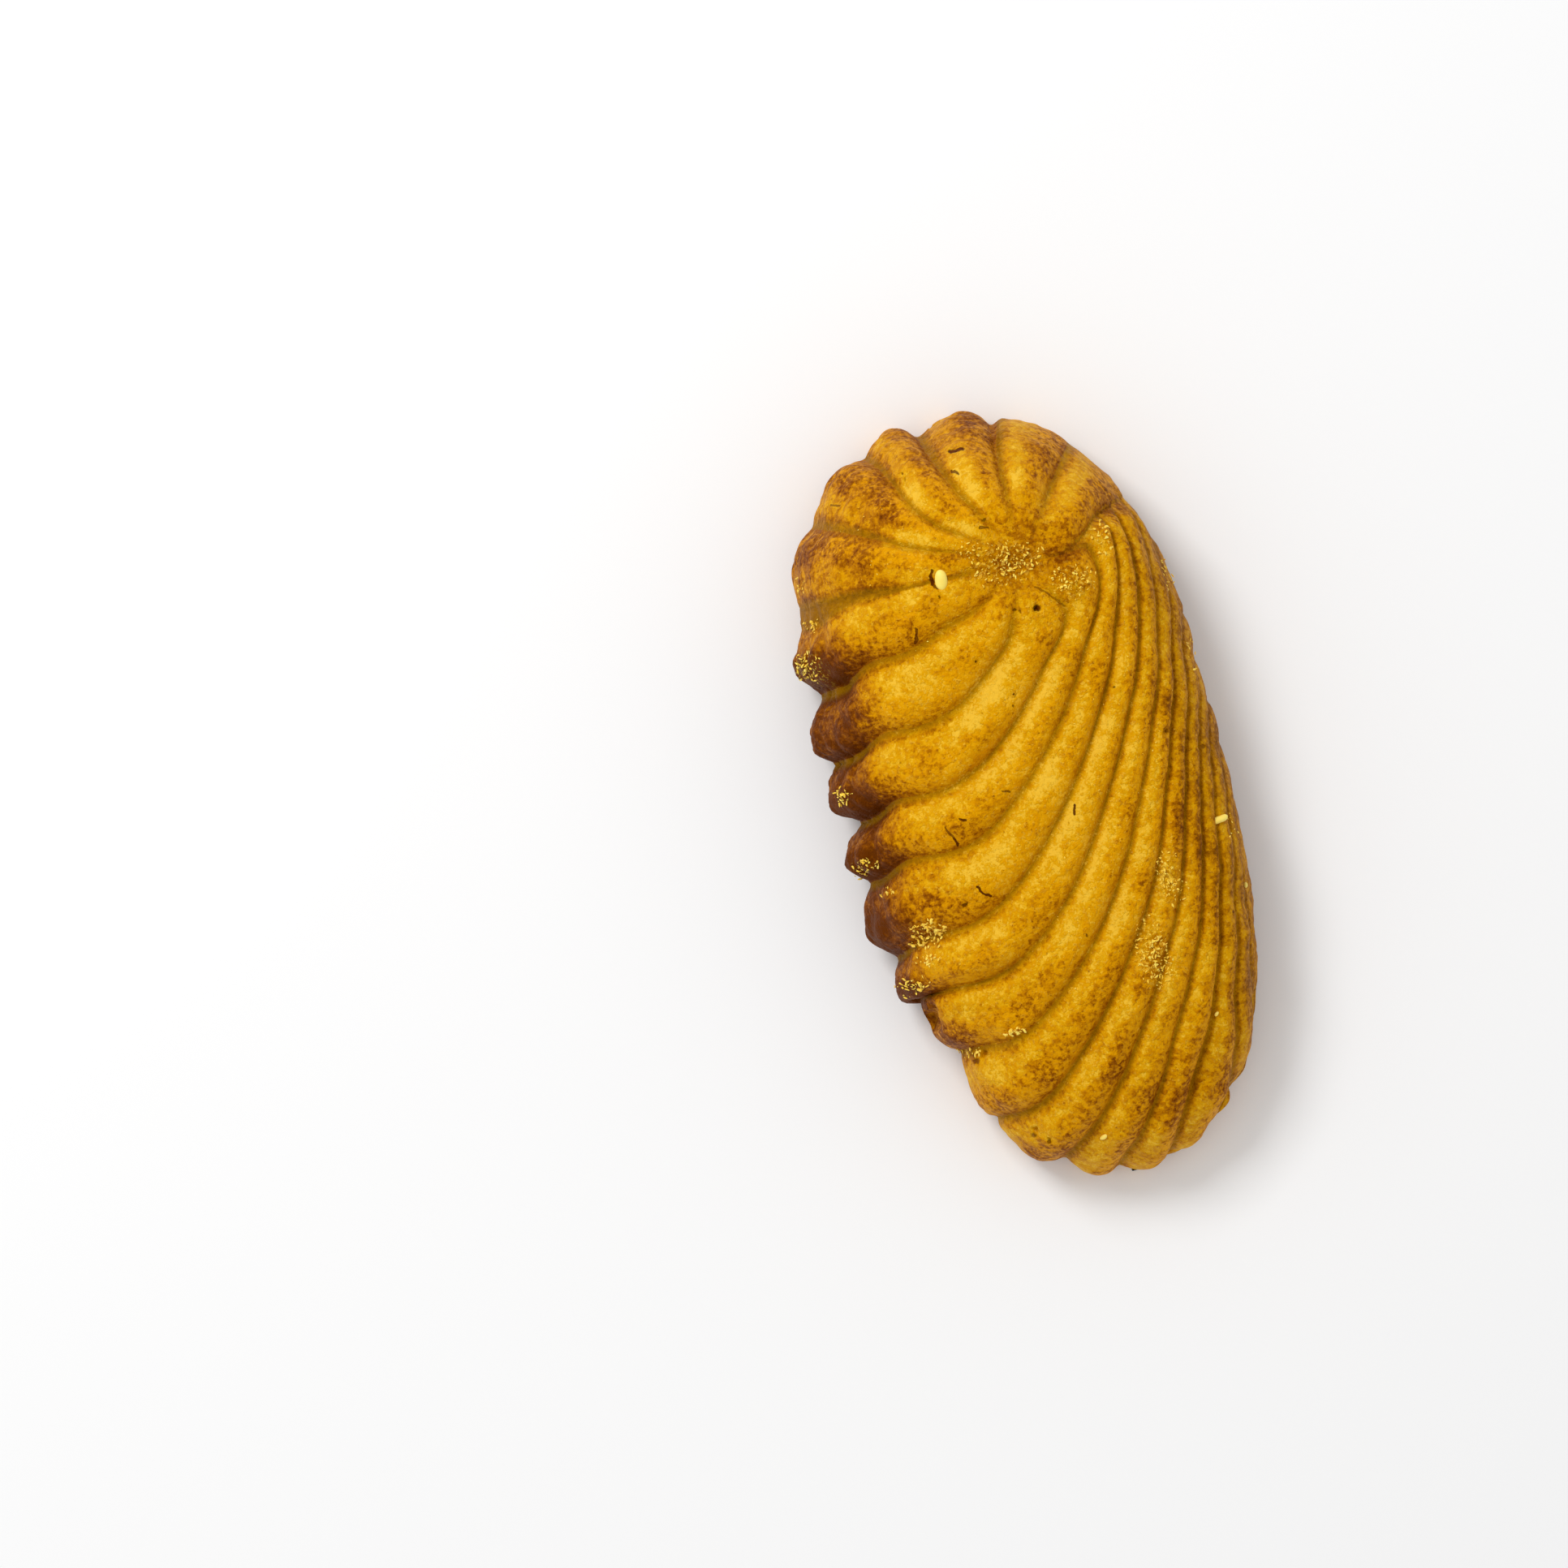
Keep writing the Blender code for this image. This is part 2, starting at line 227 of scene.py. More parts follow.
# Hair cracks: start x and y, end x and y, half width, how dark.
CRACKS = (
    (-1.2, 35.15, 0.1, 35.15, 0.12, 0.9), (-7.4, -7.2, -7.0, -7.9, 0.09, 1.0),
    (-7.0, -7.9, -6.3, -8.3, 0.10, 1.0), (-9.3, -0.8, -8.7, -2.0, 0.06, 0.6),
    (-8.7, -2.0, -8.4, -2.8, 0.08, 0.9), (-8.0, 18.7, -8.3, 17.5, 0.12, 0.7),
    (4.3, 20.4, 5.6, 19.2, 0.07, 0.4), (5.6, 19.2, 6.6, 18.0, 0.07, 0.3),
    (-1.3, 33.2, -0.9, 32.9, 0.10, 0.7), (-5.3, 24.0, -5.55, 23.4, 0.12, 0.8),
    (-5.55, 23.4, -5.55, 22.7, 0.14, 0.9), (-5.55, 22.7, -5.2, 22.2, 0.10, 0.7),
    (-3.1, 1.5, -2.4, 1.3, 0.06, 0.6), (-7.7, -0.3, -7.2, -0.6, 0.08, 0.8),
    (3.6, -1.3, 3.4, -2.2, 0.10, 0.9), (-19.6, 14.4, -18.6, 15.0, 0.18, 0.8),
    (0.1, 27.2, 0.9, 27.0, 0.10, 0.6), (-13.6, 32.4, -12.9, 32.2, 0.10, 0.5),
)

# Patches that are paler (below 0) or browner: x, y, reach across, reach along, how much.
# Most are the bake; the two broad pale ones of reach 8 on the middle of the log are partly painted light on
# its top.
PATCHES = (
    (-9.0, 27.0, 3.6, 1.8, -0.34), (-6.0, 32.0, 1.7, 3.0, -0.36), (-2.0, 27.5, 2.4, 1.8, -0.30),
    (-0.4, 31.5, 1.1, 2.8, -0.26), (5.0, 32.0, 1.3, 2.6, -0.14), (7.6, 29.0, 1.3, 2.6, -0.12),
    (-9.5, 19.5, 4.5, 1.6, -0.08), (-8.0, 13.5, 5.0, 1.6, -0.12), (-1.0, 8.0, 8.0, 8.0, -0.18),
    (2.0, -6.0, 8.0, 8.0, -0.19), (1.5, 17.5, 3.0, 2.0, -0.06), (-2.0, 17.0, 3.5, 1.5, -0.08),
    (-9.0, 30.2, 1.6, 1.0, 0.16), (-12.0, 33.5, 2.4, 1.6, 0.16), (-11.0, 23.0, 3.0, 1.2, 0.14),
    (-16.5, 27.0, 2.2, 2.0, 0.12), (10.0, 33.0, 3.4, 1.8, 0.14), (-12.5, 17.2, 4.0, 0.9, 0.04),
    (-16.0, -19.0, 3.0, 2.0, 0.26), (-13.0, -22.5, 2.4, 3.0, 0.24), (-9.0, -30.0, 3.0, 3.5, 0.16),
    (3.0, 23.3, 3.8, 2.0, 0.16), (-12.0, -8.5, 3.4, 2.6, 0.20), (-13.5, -3.5, 3.0, 2.2, 0.14),
    (0.0, -35.0, 9.0, 2.6, 0.14), (1.6, 32.2, 0.5, 2.0, 0.24), (-18.5, 16.5, 2.0, 3.0, 0.16),
    (4.0, 33.0, 12.0, 6.0, 0.08), (8.5, 22.7, 1.8, 1.2, 0.16), (-8.5, 26.0, 9.0, 6.0, 0.05),
    (-18.5, 4.0, 2.0, 12.0, 0.04), (-8.0, -1.5, 3.0, 1.2, 0.10), (14.0, -8.0, 2.5, 6.0, 0.14),
    (12.5, 28.0, 2.0, 3.5, 0.10), (8.0, -31.0, 5.0, 3.0, 0.26), (1.5, -27.0, 2.5, 2.5, 0.08),
)
PATCH_FALL = 1.2

# Clusters of crumbs: middle x and y, reach along x and y, how many, longest. The crust itself is
# gritty under the large ones.
CLUSTERS = (
    (1.8, 23.3, 3.6, 2.2, 170, 0.55), (8.0, 20.2, 2.1, 1.6, 105, 0.50), (11.8, 23.6, 1.0, 1.7, 40, 0.55),
    (-19.4, 17.0, 1.3, 1.8, 101, 0.60), (-18.0, 21.4, 0.7, 0.9, 30, 0.70), (-18.3, 25.2, 0.6, 0.9, 22, 0.6),
    (-18.4, 4.3, 0.9, 0.8, 45, 0.60), (-17.7, -3.1, 1.3, 0.9, 60, 0.65), (-16.2, -6.0, 0.8, 0.4, 20, 0.6),
    (-13.2, -10.7, 1.8, 1.3, 120, 0.70), (-13.5, -13.2, 1.2, 0.5, 36, 0.6),
    (-15.8, -15.5, 2.0, 0.9, 60, 0.7),
    (-6.9, -21.9, 1.2, 0.3, 26, 0.75), (-11.7, -23.0, 1.4, 0.6, 26, 0.6), (8.2, -17.2, 1.6, 3.6, 190, 0.55),
    (11.2, -10.2, 1.7, 2.4, 110, 0.50), (17.4, 19.2, 0.5, 1.6, 30, 0.6), (18.2, 11.0, 0.4, 2.0, 18, 0.5),
    (18.3, -6.8, 0.6, 1.6, 20, 0.4), (-1.6, 25.4, 1.2, 0.8, 34, 0.45),
)
GRITTY_COUNT = 100

# Single tiny crumbs scattered widely, given in the same way.
SCATTERED = (
    (5.0, -8.0, 9.0, 14.0, 90, 0.26), (-9.0, 24.0, 5.0, 9.0, 60, 0.26), (10.0, 5.0, 5.0, 14.0, 60, 0.26),
)


def ease(start, full, value):
    """0 at the start, 1 where it is full, smooth between."""
    t = np.clip((value - start) / (full - start), 0.0, 1.0)
    return t * t * (3.0 - 2.0 * t)


def wave(distance, length, start=0.0):
    return np.sin(2.0 * np.pi * distance / length + start)


def half_width(y):
    """Half width of the log at y, and the share of its full height there."""
    t = np.where(y > WIDEST_Y, (y - WIDEST_Y) / ROSETTE_REACH, (WIDEST_Y - y) / TAIL_REACH)
    t = np.clip(t, 0.0, 1.0)
    fullness = np.where(y > WIDEST_Y, ROSETTE_FULLNESS, TAIL_FULLNESS)
    return HALF_WIDTH * np.sqrt(1.0 - t**fullness), np.sqrt(1.0 - t ** (fullness + HEIGHT_FULLNESS))


def log_point(turn, climb):
    """Smooth log: turn goes right edge, top, left edge, base; climb goes from tail to rosette."""
    y = WIDEST_Y + 0.5 * (ROSETTE_REACH - TAIL_REACH) + 0.5 * (ROSETTE_REACH + TAIL_REACH) * np.sin(climb)
    wide, high = half_width(y)
    c, s = np.cos(turn), np.sin(turn)
    upper = s >= 0.0
    round_x = np.where(upper, 2.0 / TOP_ROUNDNESS, 2.0 / FOOT_ROUNDNESS)
    x = MIDDLE_X + MIDDLE_LEAN * y + wide * np.sign(c) * np.abs(c) ** round_x
    step = STEP_IN * ease(*STEP_Y, y) * (1.0 - ease(*STEP_BACK_Y, y))
    x = x + step * high * np.maximum(-c, 0.0)
    side = SIDE_HEIGHT * (SIDE_LEAST + (1.0 - SIDE_LEAST) * high)
    top = (TOP_HEIGHT + HEIGHT_RISE * np.clip(y, *RISE_ENDS_Y) - SIDE_HEIGHT) * high
    z = np.where(
        upper,
        side + top * np.abs(s) ** (2.0 / TOP_ROUNDNESS),
        side * (1.0 - FOOT_SINK * np.abs(s) ** (2.0 / FOOT_ROUNDNESS)),
    )
    return np.stack([x, y, np.maximum(z, 0.0)], axis=-1)


def log_normal(turn, climb):
    """Outward direction of the smooth log."""
    low = np.maximum(climb - NORMAL_STEP, -POLE)
    high = np.minimum(climb + NORMAL_STEP, POLE)
    along = log_point(turn, high) - log_point(turn, low)
    round_it = log_point(turn + NORMAL_STEP, climb) - log_point(turn - NORMAL_STEP, climb)
    n = np.cross(along, round_it)
    return n / np.maximum(np.linalg.norm(n, axis=-1, keepdims=True), 1e-9)


def plan_place(x, y):
    """Outward direction of the plan outline through a place, and how far out it is: 1 at the edge."""
    reach = np.where(y > WIDEST_Y, ROSETTE_REACH, -TAIL_REACH)
    fullness = np.where(y > WIDEST_Y, ROSETTE_FULLNESS, TAIL_FULLNESS)
    t = np.clip((y - WIDEST_Y) / reach, 0.0, 1.0)
    across = (x - MIDDLE_X - MIDDLE_LEAN * y) / HALF_WIDTH
    out = np.stack([2.0 * across / HALF_WIDTH, fullness * t ** (fullness - 1.0) / reach, 0.0 * x], axis=-1)
    return out / np.maximum(np.linalg.norm(out, axis=-1, keepdims=True), 1e-9), across**2 + t**fullness


def log_phase(x, y, turn):
    """Which valley of the log a place lies on, counted from the rosette, and the ridge width."""
    pulled = x + FLANK_PULL * np.maximum(y - FLANK_PULL_Y, 0.0) ** 2 * (x > 0.0)
    pulled = pulled - TAIL_PULL * np.maximum(TAIL_PULL_Y - y, 0.0) * ease(*TAIL_PULL_X, x)
    arc = np.arccos(np.clip((pulled - ARC_X) / ARC_RADIUS, -1.0, 1.0))
    wide, _ = half_width(y)
    edge = MIDDLE_X + MIDDLE_LEAN * y + wide
    edge_arc = np.arccos(np.clip((edge - ARC_X) / ARC_RADIUS, -1.0, 1.0))
    under_right = (np.sin(turn) < 0.0) & (np.cos(turn) > 0.0)
    arc = np.where(under_right, 2.0 * edge_arc - arc, arc)
    d = np.maximum(ARC_START - arc, 0.0)
    rise = ARC_RISE * d**ARC_POWER
    slope = ARC_RISE * ARC_POWER * d ** (ARC_POWER - 1.0) / ARC_RADIUS
    droop = TIP_DROOP * ease(*TIP_DROOP_X, x)
    phase = ARC_VALLEY + (ARC_Y + rise - droop - y) / PITCH
    index = np.arange(1.0, 1.0 + len(VALLEY_SHIFTS))
    stray = ease(*VALLEY_SHIFTS_X, x) * np.interp(phase, index, VALLEY_SHIFTS)
    stray = stray + ease(*LEFT_SHIFTS_X, x) * np.interp(phase, index, LEFT_SHIFTS)
    slanting = WANDER_WAY[0] * x + WANDER_WAY[1] * y
    stray = stray + WANDER * (wave(y, WANDER_LENGTH, WANDER_START) + wave(slanting, WANDER_LENGTH))
    return phase + stray, PITCH / np.sqrt(1.0 + slope**2)


def valley(phase, narrow, knobbly):
    """1 in the valley, 0 on the crest; narrow valleys on the flank, open ones between tips."""
    gentle = GENTLE_SIDE - NARROW_GENTLE * narrow + TIP_GENTLE * knobbly
    steep = STEEP_SIDE - NARROW_STEEP * narrow + TIP_STEEP * knobbly
    total = 0.0
    for shift in np.linspace(-SOFTENING, SOFTENING, SOFT_STEPS):
        f = (phase + shift) % 1.0
        rise = np.sin(0.5 * np.pi * np.clip(f / CREST_AT, 0.0, 1.0))
        fall = np.sin(0.5 * np.pi * np.clip((1.0 - f) / (1.0 - CREST_AT), 0.0, 1.0))
        total = total + 1.0 - np.where(f < CREST_AT, rise**gentle, fall**steep)
    return total / SOFT_STEPS


def depth_for(width):
    return np.minimum(DEPTH_SHARE * width + DEPTH_LEAST, DEPTH_MOST)


def rosette_place(x, y):
    """Distance from the rosette's point, bearing, and the bearings of the petal valleys there."""
    dx, dy = x - ROSETTE_X, y - ROSETTE_Y
    r = np.hypot(dx, dy)
    swings = [ease(*FIRST_SWING_R, r)] + [ease(*SWING_R, r)] * (len(PETAL_VALLEYS) - 1)
    valleys = [at - by * swing for at, by, swing in zip(PETAL_VALLEYS, PETAL_SWINGS, swings)]
    bearing = np.degrees(np.arctan2(dy, dx))
    bearing = np.where(bearing < valleys[0], bearing + 360.0, bearing)
    return r, bearing, np.stack(valleys, axis=-1)


def pick(values, index):
    """The value at each place's own index."""
    return np.take_along_axis(values, index, axis=-1)[..., 0]


def petal_relief(r, bearing, valleys, knobbly):
    """Depth of the petals, their place across counted up to 0, their width, and where they lie."""
    count = np.sum(bearing[..., None] > valleys, axis=-1) - 1
    inside = count < len(PETAL_VALLEYS) - 1
    count = np.clip(count, 0, len(PETAL_VALLEYS) - 2)[..., None]
    low, high = pick(valleys, count), pick(valleys, count + 1)
    across = np.clip((high - bearing) / (high - low), 0.0, 1.0)
    spans = np.diff(valleys, axis=-1)
    fan_span = np.full_like(spans[..., :1], FAN_VALLEYS[1] - FAN_VALLEYS[0])
    spans = np.concatenate([spans[..., :1], spans, fan_span], axis=-1)
    span = 0.5 * (spans[..., 1:] + spans[..., :-1])
    span = pick(span, count) * across + pick(span, count + 1) * (1.0 - across)
    strength = np.interp(count[..., 0] + 1.0 - across, np.arange(len(PETAL_DEPTHS)), PETAL_DEPTHS)
    width = PETAL_WIDTH * r * np.radians(span)
    rim = ease(*RIM_R, r) * ease(*RIM_BEARING, bearing)
    depth = depth_for(width) * strength * valley(across, 0.0, knobbly) * (1.0 - RIM_FADE * rim)
    phase = count[..., 0] + 1.0 - across - (len(PETAL_VALLEYS) - 1)
    return depth, phase, width / (1.0 - RIM_LINE_FADE * rim), inside


def log_relief(x, y, turn, r, bearing, tips):
    """Depth of the log's slanting ridges, the place across them counted from 0, and their width."""
    phase, width = log_phase(x, y, turn)
    fan = np.interp(bearing, FAN_VALLEYS, np.arange(len(FAN_VALLEYS)))
    phase = np.maximum(fan + (phase - fan) * ease(*FAN_R, r), 0.0)
    uneven = 1.0 + RIDGE_UNEVEN * np.sin(RIDGE_BEAT * phase + RIDGE_START)
    uneven = uneven + ALONG_UNEVEN * wave(x, ALONG_LENGTH, ALONG_SLIP * phase)
    uneven = uneven * (PETAL_DEPTHS[-1] + (1.0 - PETAL_DEPTHS[-1]) * ease(*FIRST_RIDGE, phase))
    depth = depth_for(width) * uneven * valley(phase, ease(*NARROW_WIDTH, width), tips)
    shoulder = ease(*SHOULDER_X, x) * ease(*SHOULDER_Y, y)
    depth = depth * (1.0 - SHOULDER_FADE * shoulder) * (1.0 - EDGE_FADE * ease(*EDGE_X, x))
    fan_width = FAN_WIDTH * r
    return depth, phase, fan_width + (width - fan_width) * ease(*FAN_R, r)


def tuck_relief(r, bearing, first):
    """Depth of the crease where the log's end goes under the first petal."""
    beside = r * np.sin(np.radians(np.clip(first + 360.0 - bearing, 0.0, 90.0)))
    depth = depth_for(TUCK_SHARE * r) * (1.0 - ease(0.0, TUCK_WIDTH, beside)) * (bearing > TUCK_FROM)
    return depth * (1.0 - SHOULDER_FADE * ease(*RIM_R, r))


def relief(x, y, turn):
    """How far the surface lies below the smooth log, and facts about the ridge for its colour."""
    r, bearing, valleys = rosette_place(x, y)
    tips = ease(*TIP_X, x) * (1.0 - LOW_TIP_FADE * ease(*LOW_TIP_Y, y))
    petal_tips = ease(*PETAL_TIP_R, r) * ease(*PETAL_TIP_BEARING, bearing)
    knobbly = np.maximum(tips, petal_tips)
    petals, petal_phase, petal_width, inside = petal_relief(r, bearing, valleys, knobbly)
    ridges, phase, width = log_relief(x, y, turn, r, bearing, tips)
    tuck = tuck_relief(r, bearing, valleys[..., 0])
    depth = np.where(inside, petals, np.maximum(ridges, tuck))
    knobs = np.maximum(tips, PETAL_TIP_SHARE * petal_tips * inside)
    depth = depth * (1.0 + TIP_NOTCH * knobs * np.minimum(depth / DEPTH_MOST, 1.0))
    depth = depth * ease(*CENTRE_R, r) + DIMPLE * ease(*DIMPLE_R, r)
    browned = tips * (1.0 - ROSETTE_PALER * ease(*ROSETTE_PALER_Y, y))
    facts = {
        "phase": np.where(inside, petal_phase, phase),
        "ridge_width": np.where(inside, petal_width, width),
        "tips": np.maximum(browned, PETAL_TIP_BROWN * petal_tips * inside),
        "tuck": np.where(inside, 0.0, np.minimum(tuck / DEPTH_MOST, 1.0)),
        "clear": ease(*CENTRE_R, r),
        "along": np.where(inside, r, STREAK_WAY[0] * x + STREAK_WAY[1] * y),
    }
    return depth, facts


def waves(p, size, seed, count):
    """Smooth noise of about the given size in millimetres, roughly -1 to 1."""
    rng = np.random.default_rng(seed)
    total = 0.0
    for _ in range(count):
        way = rng.normal(size=3)
        way *= 2.0 * math.pi / (size * rng.uniform(*WAVE_SPREAD) * np.linalg.norm(way))
        total = total + np.sin(p @ way + rng.uniform(0.0, 2.0 * math.pi))
    return total / math.sqrt(count) * WAVE_HEIGHT


def pitted(x, y):
    """Depth of the pits at places seen from above."""
    depth = np.zeros_like(x)
    for pit_x, pit_y, radius, deep in PITS:
        ragged = 1.0 + PIT_RAGGED * np.sin(PIT_CORNERS * np.arctan2(y - pit_y, x - pit_x) + pit_x)
        near = 1.0 - ease(*PIT_WALL, np.hypot(x - pit_x, y - pit_y) / (radius * ragged))
        depth = np.maximum(depth, deep * near)
    return depth


def near_patch(x, y, patch):
    """1 at the middle of a patch, falling smoothly to 0 past its reach."""
    return np.exp(-PATCH_FALL * (((x - patch[0]) / patch[2]) ** 2 + ((y - patch[1]) / patch[3]) ** 2))


def biscuit_points(turn, climb):
    """The biscuit's surface in millimetres with its colour facts."""
    p = log_point(turn, climb)
    n = log_normal(turn, climb)
    x, y = p[..., 0], p[..., 1]
    depth, facts = relief(x, y, turn)
    lumps = sum(height * waves(p, *kind) for height, *kind in LUMPS)
    drawn_out = p * np.array(CRAG_STRETCH)
    crags = sum(height * np.abs(waves(drawn_out, *kind)) for height, *kind in CRAGS)
    lumps = lumps + (CRAG_HEIGHT * facts["tips"] + WRINKLE_HEIGHT) * (crags - CRAG_MIDDLE)
    upper = (n[..., 2] > UPPER_Z).astype(float)
    outwards, far_out = plan_place(x, y)
    low = n[..., 2] < 0.0
    share = np.where(low, ease(*BASE_FADE, far_out), 1.0)
    inwards = (depth + pitted(x, y) * upper + SKIN_INWARDS - lumps) * share
    moved = p - np.where(low[..., None], outwards, n) * inwards[..., None]
    moved[..., 2] = np.maximum(moved[..., 2], 0.0)
    facts["upper"] = upper
    facts["under"] = ease(*UNDER_Z, n[..., 2])
    facts["flank"] = ease(*FLANK_X, x)
    facts["tone"] = sum(patch[4] * near_patch(x, y, patch) for patch in PATCHES)
    gritty = [cluster for cluster in CLUSTERS if cluster[4] > GRITTY_COUNT]
    facts["grit"] = np.max([near_patch(x, y, cluster) for cluster in gritty], axis=0)
    facts["height"] = p[..., 2]
    return moved, facts


# The biscuit's mesh: a fine ball of points moved onto the surface.
bm = bmesh.new()
bmesh.ops.create_uvsphere(bm, u_segments=AROUND, v_segments=ALONG, radius=1.0)
unit = np.array([v.co[:] for v in bm.verts])
lap = np.arctan2(unit[:, 1], unit[:, 0])
climb = np.clip(np.arcsin(np.clip(unit[:, 2], -1.0, 1.0)), -POLE, POLE)
points, facts = biscuit_points(lap + CROWDING * np.cos(lap), climb)
low, high = points.min(axis=0), points.max(axis=0)
fit = (np.array(cad_high) - np.array(cad_low)) / (high - low)


def place(xyz):
    """Millimetres of the tracing to metres of the frame, inside the solid's own box."""
    return (np.asarray(xyz) - low) * fit + np.array(cad_low)


placed = place(points)
for vert, co in zip(bm.verts, placed):
    vert.co = co
# Laying the ball on its side can turn it inside out, so its faces are made to point outwards.
if bm.calc_volume(signed=True) < 0.0:
    bmesh.ops.reverse_faces(bm, faces=bm.faces[:])
for face in bm.faces:
    face.smooth = True
mesh = bpy.data.meshes.new("biscuit_crust")
bm.to_mesh(mesh)
bm.free()
FACTS_SHOWN = ("phase", "ridge_width", "tips", "tuck", "clear", "upper", "under", "flank", "tone", "grit")
for name in FACTS_SHOWN:
    layer = mesh.attributes.new(name, "FLOAT", "POINT")
    layer.data.foreach_set("value", np.asarray(facts[name], dtype=np.float32))
streak = np.stack([facts["along"], facts["phase"], facts["height"]], axis=-1) * STREAK_CLOSENESS
layer = mesh.attributes.new("streak", "FLOAT_VECTOR", "POINT")
layer.data.foreach_set("vector", streak.astype(np.float32).ravel())
crust = bpy.data.objects.new("biscuit_crust", mesh)
bpy.context.scene.collection.objects.link(crust)


class Value:
    """A shader number: arithmetic on it adds Math nodes."""

    def __init__(self, maker, socket):
        self.maker = maker
        self.socket = socket

    def __add__(self, other):
        return self.maker.number("ADD", self, other)

    def __radd__(self, other):
        return self.maker.number("ADD", other, self)

    def __sub__(self, other):
        return self.maker.number("SUBTRACT", self, other)

    def __rsub__(self, other):
        return self.maker.number("SUBTRACT", other, self)

    def __mul__(self, other):
        return self.maker.number("MULTIPLY", self, other)

    def __rmul__(self, other):
        return self.maker.number("MULTIPLY", other, self)

    def most(self, other):
        return self.maker.number("MAXIMUM", self, other)

    def least(self, other):
        return self.maker.number("MINIMUM", self, other)


class Maker:
    """Builds one material's nodes."""

    def __init__(self, name):
        self.material = bpy.data.materials.new(name)
        self.material.use_nodes = True
        self.tree = self.material.node_tree
        self.shader = self.tree.nodes["Principled BSDF"]
        self.object_place = self.node("ShaderNodeTexCoord", {}, {}).outputs["Object"]

    def node(self, kind, settings, sockets):
        made = self.tree.nodes.new(kind)
        for key, value in settings.items():
            setattr(made, key, value)
        for key, value in sockets.items():
            self.set(made.inputs[key], value)
        return made

    def set(self, target, value):
        value = value.socket if isinstance(value, Value) else value
        if isinstance(value, bpy.types.NodeSocket):
            self.tree.links.new(value, target)
        else:
            target.default_value = value

    def number(self, kind, a, b=0.0):
        made = self.node("ShaderNodeMath", {"operation": kind}, {0: a, 1: b})
        return Value(self, made.outputs[0])

    def vector(self, kind, sockets):
        return self.node("ShaderNodeVectorMath", {"operation": kind}, sockets).outputs["Vector"]

    def vector_number(self, kind, a, b):
        made = self.node("ShaderNodeVectorMath", {"operation": kind}, {0: a, 1: b})
        return Value(self, made.outputs["Value"])

    def attribute(self, name):
        made = self.node("ShaderNodeAttribute", {"attribute_name": name}, {})
        return Value(self, made.outputs["Fac"])

    def texture(self, scale, detail=2.0, rough=0.5, place=None):
        sockets = {"Scale": scale, "Detail": detail, "Roughness": rough}
        sockets["Vector"] = self.object_place if place is None else place
        return self.node("ShaderNodeTexNoise", {}, sockets)

    def noise(self, scale, detail=2.0, rough=0.5, place=None):
        return Value(self, self.texture(scale, detail, rough, place).outputs["Fac"])

    def cells(self, scale):
        sockets = {"Vector": self.object_place, "Scale": scale}
        made = self.node("ShaderNodeTexVoronoi", {"feature": "F1"}, sockets)
        return Value(self, made.outputs["Distance"])

    def ease(self, start, full, value):
        made = self.node(
            "ShaderNodeMapRange",
            {"interpolation_type": "SMOOTHSTEP"},
            {"Value": value, "From Min": start, "From Max": full},
        )
        return Value(self, made.outputs["Result"])

    def ramp(self, value, stops):
        made = self.node("ShaderNodeValToRGB", {}, {"Fac": value})
        elements = made.color_ramp.elements
        elements[0].position, elements[1].position = stops[0][0], stops[-1][0]
        for at, _ in stops[1:-1]:
            elements.new(at)
        for element, (at, colour) in zip(elements, stops):
            element.position = at
            element.color = (*colour, 1.0)
        return made.outputs["Color"]

    def mix(self, share, a, b):
        """Colour a turned into colour b by a share."""
        made = self.node("ShaderNodeMix", {"data_type": "RGBA", "blend_type": "MIX"}, {0: share})
        self.set(made.inputs[6], a)
        self.set(made.inputs[7], (*b, 1.0))
        return made.outputs[2]

    def bump(self, height, strength, distance):
        sockets = {"Height": height, "Strength": strength, "Distance": distance}
        made = self.node("ShaderNodeBump", {}, sockets)
        self.tree.links.new(made.outputs["Normal"], self.shader.inputs["Normal"])


# Crust colours, from the palest dough to the darkest spots, then crumbs and the tint of the gloss.
# Olive, orange, brown and dark are also laid on as painted shade.
CREAM = (0.85, 0.495, 0.036)
PALE = (0.74, 0.372, 0.004)
ORANGE = (0.84, 0.360, 0.0005)
GOLD = (0.66, 0.280, 0.0005)
AMBER = (0.45, 0.155, 0.0005)
BROWN = (0.21, 0.050, 0.0005)
RUST = (0.12, 0.024, 0.0005)
DARK = (0.080, 0.006, 0.0005)
OLIVE = (0.38, 0.195, 0.001)
SUGAR = (0.95, 0.58, 0.040)
GLINT = (1.0, 0.68, 0.08)
GLEAM = (1.0, 0.80, 0.15)
GLOSS = (1.0, 0.60, 0.01, 1.0)

BAKE_COLOURS = ((0.0, CREAM), (0.16, PALE), (0.36, GOLD), (0.58, AMBER), (0.84, BROWN), (1.0, RUST))
CRUMB_COLOURS = ((0.30, SUGAR), (0.48, GLINT), (0.65, GLEAM))
BIT_COLOURS = ((0.30, GLINT), (0.60, GLEAM))

# How fine the mottling on the crust, crumbs and bits is, in patches to a metre.
BLOTCHES = 240.0
MOTTLING = 820.0
FLECKS = 1500.0
GRAINS = 2500.0
DOTS = 1000.0
FLAKES = 2700.0
TEARS = 1700.0
CRUMB_TONES = 1400.0
BIT_TONES = 900.0

# Bands across a ridge, from its upper valley at 0 to its lower one at 1, and how far they stray.
# The olive upper side, just below each valley, is painted shade of the ridge above, partly less baked
# dough.
UPPER_SIDE = (0.17, 0.02)
# The crest band is painted light on the lit upper half of each ridge, partly paler dough.
CREST_STARTS = (0.10, 0.22)
CREST_ENDS = (0.62, 0.32)
# The orange lower band paints each ridge's shaded lower side, partly browner bake.
LOWER_STARTS = (0.40, 0.65)
LOWER_ENDS = (0.98, 0.86)
PHASE_STRAY = 0.06
CREST_STRAY = 0.50
LOWER_STRAY = 0.35

# Half width of the brown line of painted shade along a valley, in millimetres.
CREASE_SHADE_HALF = (0.50, 0.05)
CREASE_SHADE_STRAY = 0.30
